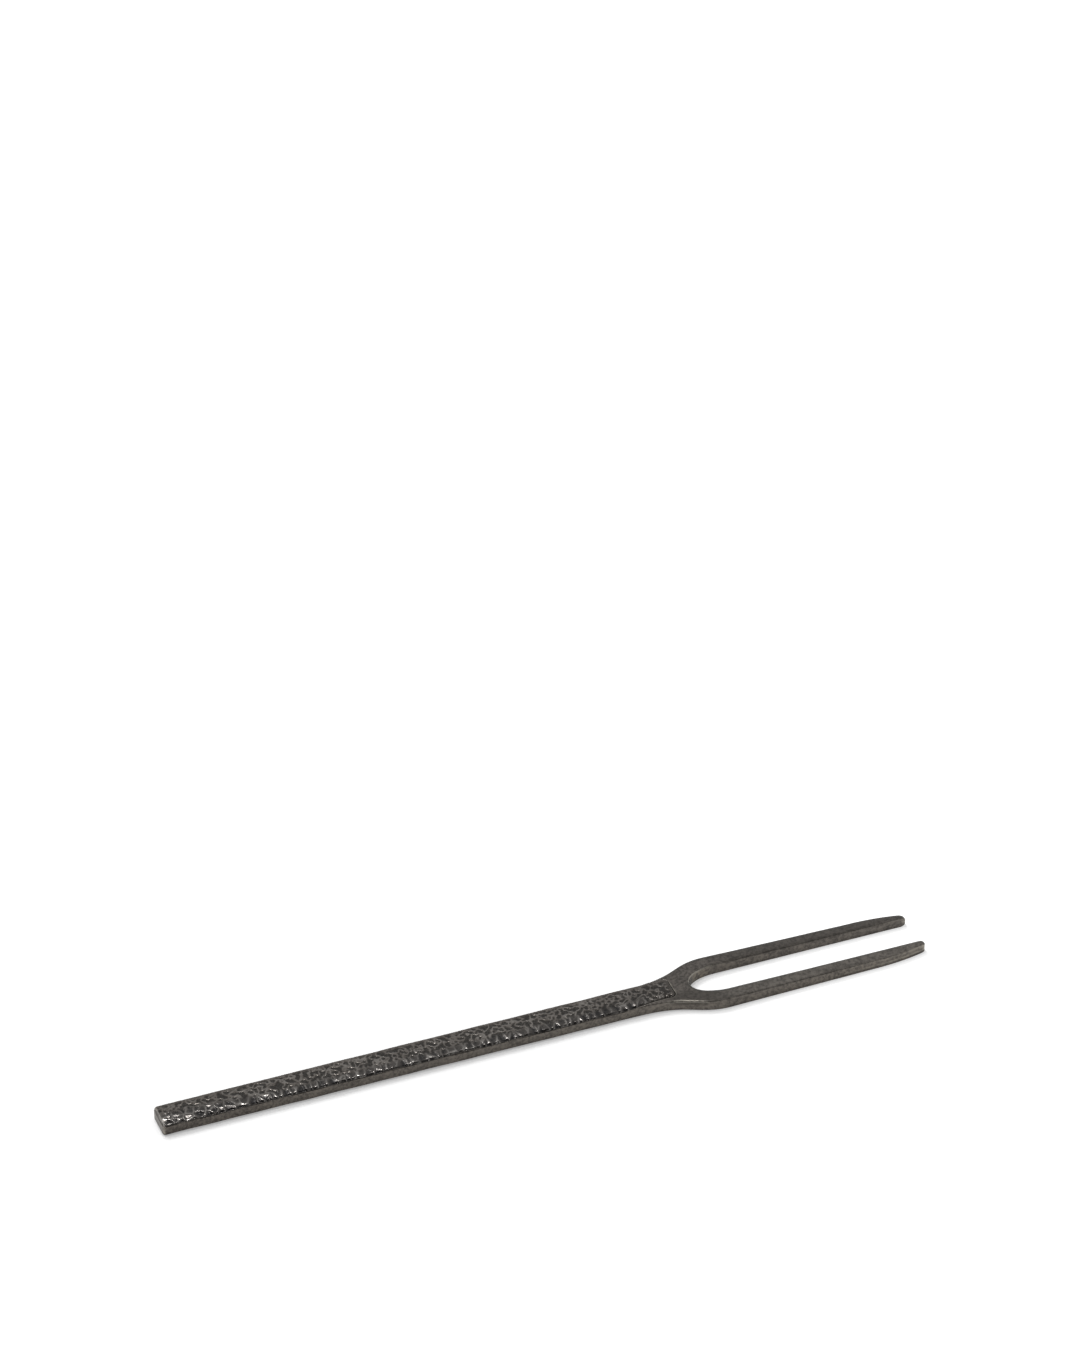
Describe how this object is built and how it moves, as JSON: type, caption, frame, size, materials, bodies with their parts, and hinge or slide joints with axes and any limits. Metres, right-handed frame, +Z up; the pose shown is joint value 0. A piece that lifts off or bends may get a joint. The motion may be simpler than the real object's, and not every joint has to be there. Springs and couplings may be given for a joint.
{
  "type": "two-tined fork",
  "caption": "Slender flat serving fork in blackened metal: a straight handle with a hammered strip on top widens at the neck into a plain slotted head with blunt tines.",
  "frame": {"origin": "middle of the fork's length and width, on the surface that its underside rests on", "axes": "+X along the fork from the butt of the handle to the tips, +Y across it, +Z up out of the hammered side"},
  "size_m": [0.2, 0.0178, 0.0034],
  "materials": {
    "satin_black": "blackened satin metal with a fine grain, rubbed lighter along its edges and at the tips",
    "hammered_black": "blackened metal covered in small hammered dimples, with brighter ridges between them"
  },
  "bodies": {
    "root": {"fork_body": "satin_black", "grip_strip": "hammered_black"}
  },
  "joints": []
}
